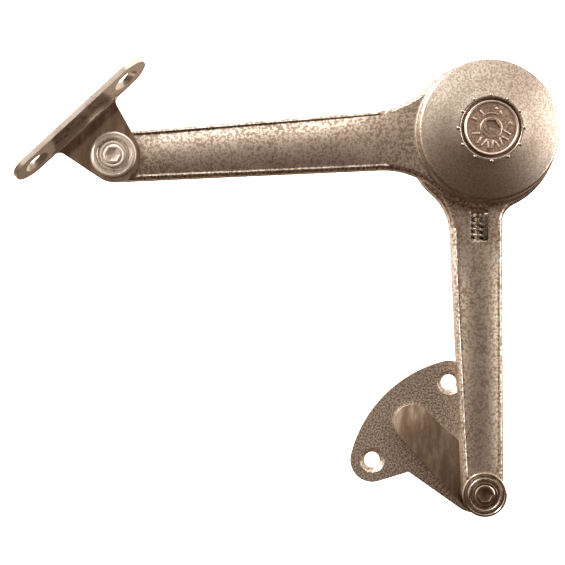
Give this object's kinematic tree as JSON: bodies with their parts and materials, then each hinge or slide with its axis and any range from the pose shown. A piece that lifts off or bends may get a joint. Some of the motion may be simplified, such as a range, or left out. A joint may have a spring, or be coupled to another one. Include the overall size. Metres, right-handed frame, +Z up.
{
  "type": "folding flap stay",
  "caption": "Folding two-arm flap stay with a round adjustable friction hub, spring-loaded cam in the lower arm, and screw-on brackets for cabinet side and flap.",
  "frame": {"origin": "midway between the cabinet bracket's two screw holes, on the face that lies on the cabinet side", "axes": "+Y into the cabinet side along the bracket's screws, +Z up, +X to the right as seen from the open side"},
  "size_m": [0.1474, 0.0328, 0.1283],
  "materials": {
    "bright_nickel": "bright nickel plate",
    "pearl_nickel": "satin pearl nickel",
    "cover_nickel": "satin turned nickel",
    "dial_bronze": "satin bronze",
    "steel": "plain steel",
    "spring_steel": "drawn wire",
    "polymer": "acetal",
    "lining": "friction lining"
  },
  "bodies": {
    "cabinet_side": {"cabinet_bracket": "bright_nickel", "cabinet_pivot_post": "bright_nickel", "cabinet_pivot_screw": "bright_nickel", "cabinet_pivot_ring": "steel"},
    "lower": {"lower_arm": "pearl_nickel", "cabinet_pivot_bush": "polymer", "cabinet_pivot_washer": "steel", "spring_housing": "polymer", "spring_stop": "steel", "spring_stop_pin": "steel", "closing_spring": "spring_steel", "hub_rear_plate": "pearl_nickel", "hub_rear_cap": "pearl_nickel", "hub_rivets": "steel", "hub_axle": "steel", "thrust_washer": "polymer", "friction_plate": "steel", "rear_disc_spring": "spring_steel", "front_disc_spring": "spring_steel"},
    "follower": {"cam_follower": "steel", "spring_guide_rod": "steel"},
    "nut": {"pressure_nut": "steel"},
    "dial": {"adjusting_dial": "dial_bronze"},
    "upper": {"upper_arm": "pearl_nickel", "cam_disc": "steel", "hub_bush": "polymer", "rear_friction_lining": "lining", "front_friction_lining": "lining", "cover_plate": "steel", "hub_cover": "cover_nickel", "cover_screws": "steel", "flap_pivot_bush": "polymer", "flap_pivot_washer": "steel"},
    "flap_side": {"flap_bracket": "bright_nickel", "flap_pivot_post": "bright_nickel", "flap_pivot_screw": "bright_nickel", "flap_pivot_ring": "steel"}
  },
  "joints": [
    {"name": "cabinet_pivot", "type": "hinge", "parent": "cabinet_side", "child": "lower", "pos_m": [0.01878, -0.013, -0.01878], "axis": [0, -1, 0], "range_deg": [-45, 75]},
    {"name": "hub_pivot", "type": "hinge", "parent": "lower", "child": "upper", "pos_m": [0.01878, -0.015, 0.08062], "axis": [0, -1, 0], "range_deg": [-33, 72]},
    {"name": "flap_pivot", "type": "hinge", "parent": "upper", "child": "flap_side", "pos_m": [-0.08235, -0.02, 0.07479], "axis": [0, -1, 0], "range_deg": [-80, 60]},
    {"name": "follower_slide", "type": "slide", "parent": "lower", "child": "follower", "axis": [0, 0, -1], "range_m": [-0.00098, 0.00214], "deforming": ["closing_spring"]},
    {"name": "dial_turn", "type": "hinge", "parent": "lower", "child": "dial", "pos_m": [0.01878, -0.027, 0.08062], "axis": [0, -1, 0], "range_deg": [-150, 150]},
    {"name": "nut_slide", "type": "slide", "parent": "lower", "child": "nut", "axis": [0, 1, 0], "range_m": [-0.00042, 0.00042]}
  ],
  "couplings": [
    {"joint": "follower_slide", "follows": "hub_pivot", "m_per_rad": 0.0017},
    {"joint": "nut_slide", "follows": "dial_turn", "m_per_rad": -0.00016}
  ]
}
